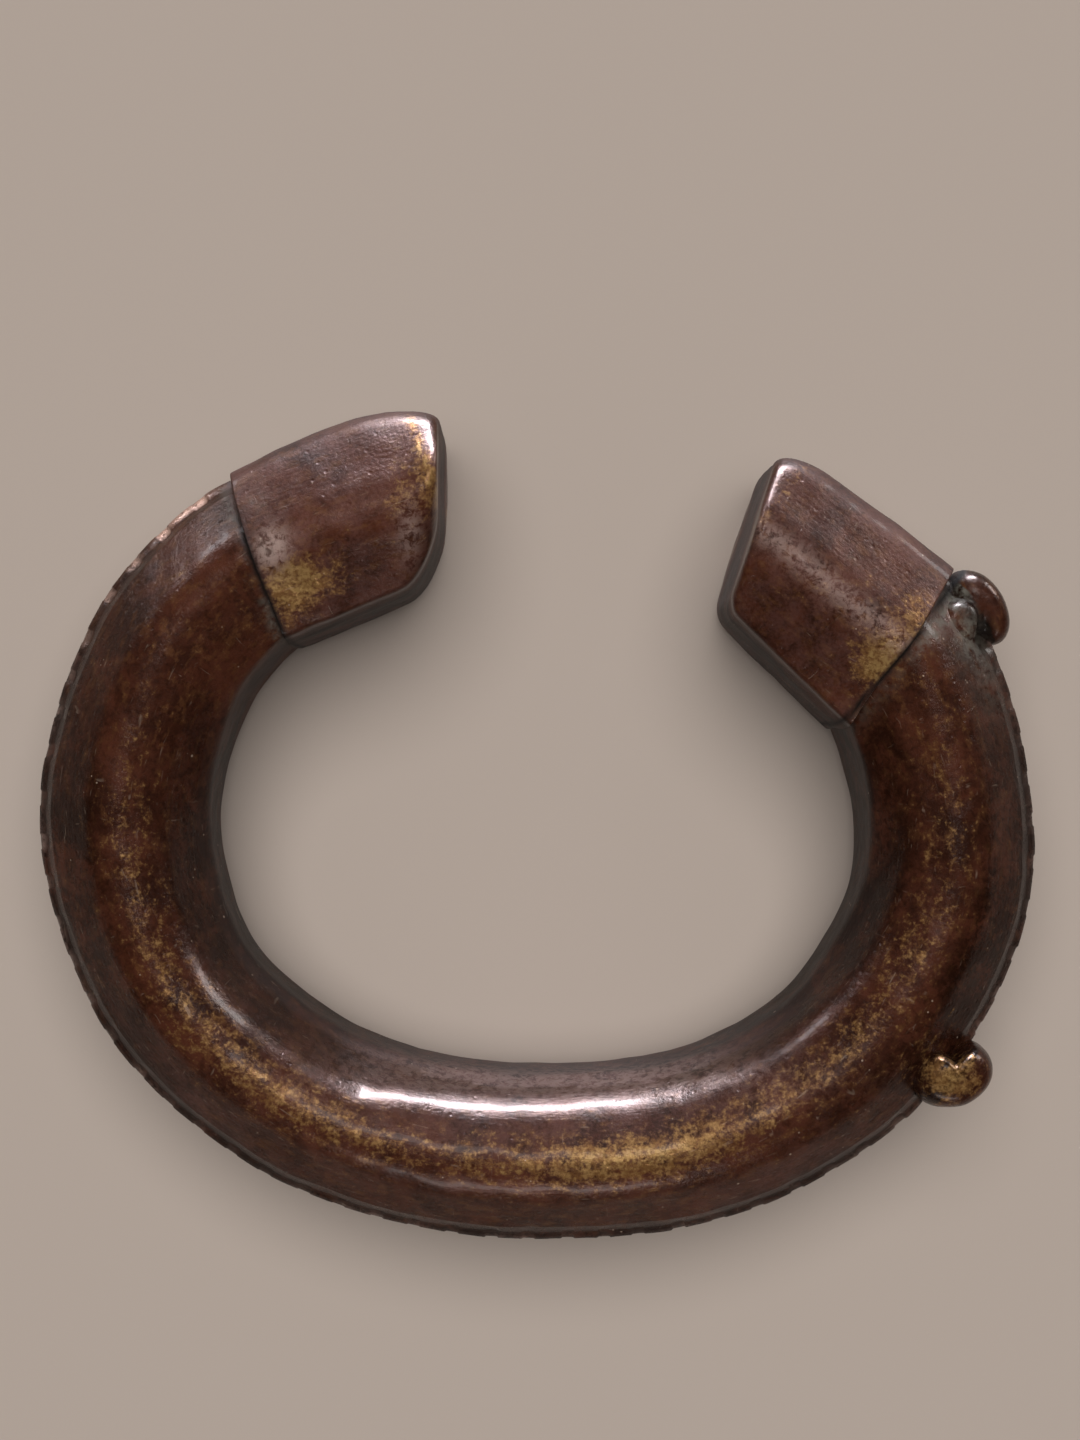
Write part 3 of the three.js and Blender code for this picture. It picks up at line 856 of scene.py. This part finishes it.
# The floor is a plain pale sheet that the bracelet lies on, with room round it. It is matt, so that
# the soft boxes don't show in it. Its reach is in metres.
floor_reach = 3.0
floor_colour, floor_roughness = (0.53, 0.453, 0.401, 1), 0.9
floor_mesh = bpy.data.meshes.new("floor")
floor_corners = [
    (x * floor_reach, y * floor_reach, 0) for x, y in ((-1, -1), (1, -1), (1, 1), (-1, 1))
]
floor_mesh.from_pydata(floor_corners, [], [(0, 1, 2, 3)])
floor = bpy.data.objects.new("floor", floor_mesh)
bpy.context.scene.collection.objects.link(floor)
floor_paint = bpy.data.materials.new("floor_paint")
floor_paint.use_nodes = True
floor_shader = floor_paint.node_tree.nodes["Principled BSDF"]
floor_shader.inputs["Base Color"].default_value = floor_colour
floor_shader.inputs["Roughness"].default_value = floor_roughness
floor_shader.inputs["Specular IOR Level"].default_value = 0.0
floor.data.materials.append(floor_paint)

# Studio light: a wide diffused light from above for the floor and the patina's colours, and soft
# boxes that only the metal shows, so that the front stays dark and the shoulders catch the light.
# Beyond the floor is a plain wall, which only shows from low down.
air_colour, air_strength, backdrop_colour = (0.95, 0.90, 0.86, 1), 0.07, (0.42, 0.36, 0.31, 1)
scene = bpy.context.scene
world = bpy.data.worlds.new("studio")
world.use_nodes = True
world_nodes, world_links = world.node_tree.nodes, world.node_tree.links
air = world_nodes["Background"]
air.inputs["Color"].default_value = air_colour
air.inputs["Strength"].default_value = air_strength
backdrop = world_nodes.new("ShaderNodeBackground")
backdrop.inputs["Color"].default_value = backdrop_colour
seen = world_nodes.new("ShaderNodeLightPath")
air_or_backdrop = world_nodes.new("ShaderNodeMixShader")
world_links.new(seen.outputs["Is Camera Ray"], air_or_backdrop.inputs["Fac"])
world_links.new(air.outputs["Background"], air_or_backdrop.inputs[1])
world_links.new(backdrop.outputs["Background"], air_or_backdrop.inputs[2])
world_links.new(air_or_backdrop.outputs["Shader"], world_nodes["World Output"].inputs["Surface"])
world.cycles_visibility.glossy = False
scene.world = world
scene.view_settings.view_transform = "Standard"

ceiling_strength, ceiling_spread, ceiling_tilt = 2.35, 50, -14
ceiling_light = bpy.data.lights.new("ceiling", "SUN")
ceiling_light.energy, ceiling_light.color = ceiling_strength, (1.0, 0.975, 0.95)
ceiling_light.angle = math.radians(ceiling_spread)
ceiling = bpy.data.objects.new("ceiling", ceiling_light)
ceiling.rotation_euler = (math.radians(ceiling_tilt), 0, 0)
ceiling.visible_glossy = False
scene.collection.objects.link(ceiling)
box_distance = 2.0


def soft_box(name, polar, azimuth, width, height, brightness, colour):
    """A soft box that faces the bracelet and is mirrored in it. polar is its angle from straight
    up, azimuth is its angle round from +X, and brightness is what it looks like from the front."""
    tilt, turn = math.radians(polar), math.radians(azimuth)
    light = bpy.data.lights.new(name, "AREA")
    light.shape, light.size, light.size_y = "RECTANGLE", width, height
    light.energy, light.color = brightness * math.pi * width * height, colour
    lamp = bpy.data.objects.new(name, light)
    lamp.location = box_distance * np.array([
        math.sin(tilt) * math.cos(turn), math.sin(tilt) * math.sin(turn), math.cos(tilt),
    ])
    lamp.rotation_euler = (tilt, 0, turn + math.pi / 2)
    lamp.visible_camera = lamp.visible_diffuse = False
    scene.collection.objects.link(lamp)


soft_box("low_box", 86, 88, 0.75, 0.8, 175.0, (0.93, 0.92, 1.0))
soft_box("left_low_box", 80, 40, 0.6, 0.5, 28.0, (1.0, 0.96, 0.94))
soft_box("right_low_box", 82, 130, 0.4, 0.45, 25.0, (0.96, 0.95, 1.0))
soft_box("axis_box", 17, 80, 0.4, 0.4, 13.0, (1.0, 0.97, 0.95))
soft_box("foot_box", 60, -92, 0.9, 0.3, 11.0, (1.0, 0.95, 0.93))

# The camera looks straight down on the bracelet, as the photograph faces it. It is close above it,
# so that slivers of the end faces and of the wrist side show. Its place is in metres.
camera_place, camera_height = (0.0003, 0.00987), 0.222
lens, sensor_width = 55, 36  # millimetres
camera = bpy.data.objects.new("camera", bpy.data.cameras.new("camera"))
camera.location = (*camera_place, camera_height)
camera.data.lens, camera.data.sensor_width = lens, sensor_width
camera.data.clip_start = 0.01
scene.collection.objects.link(camera)
scene.camera = camera
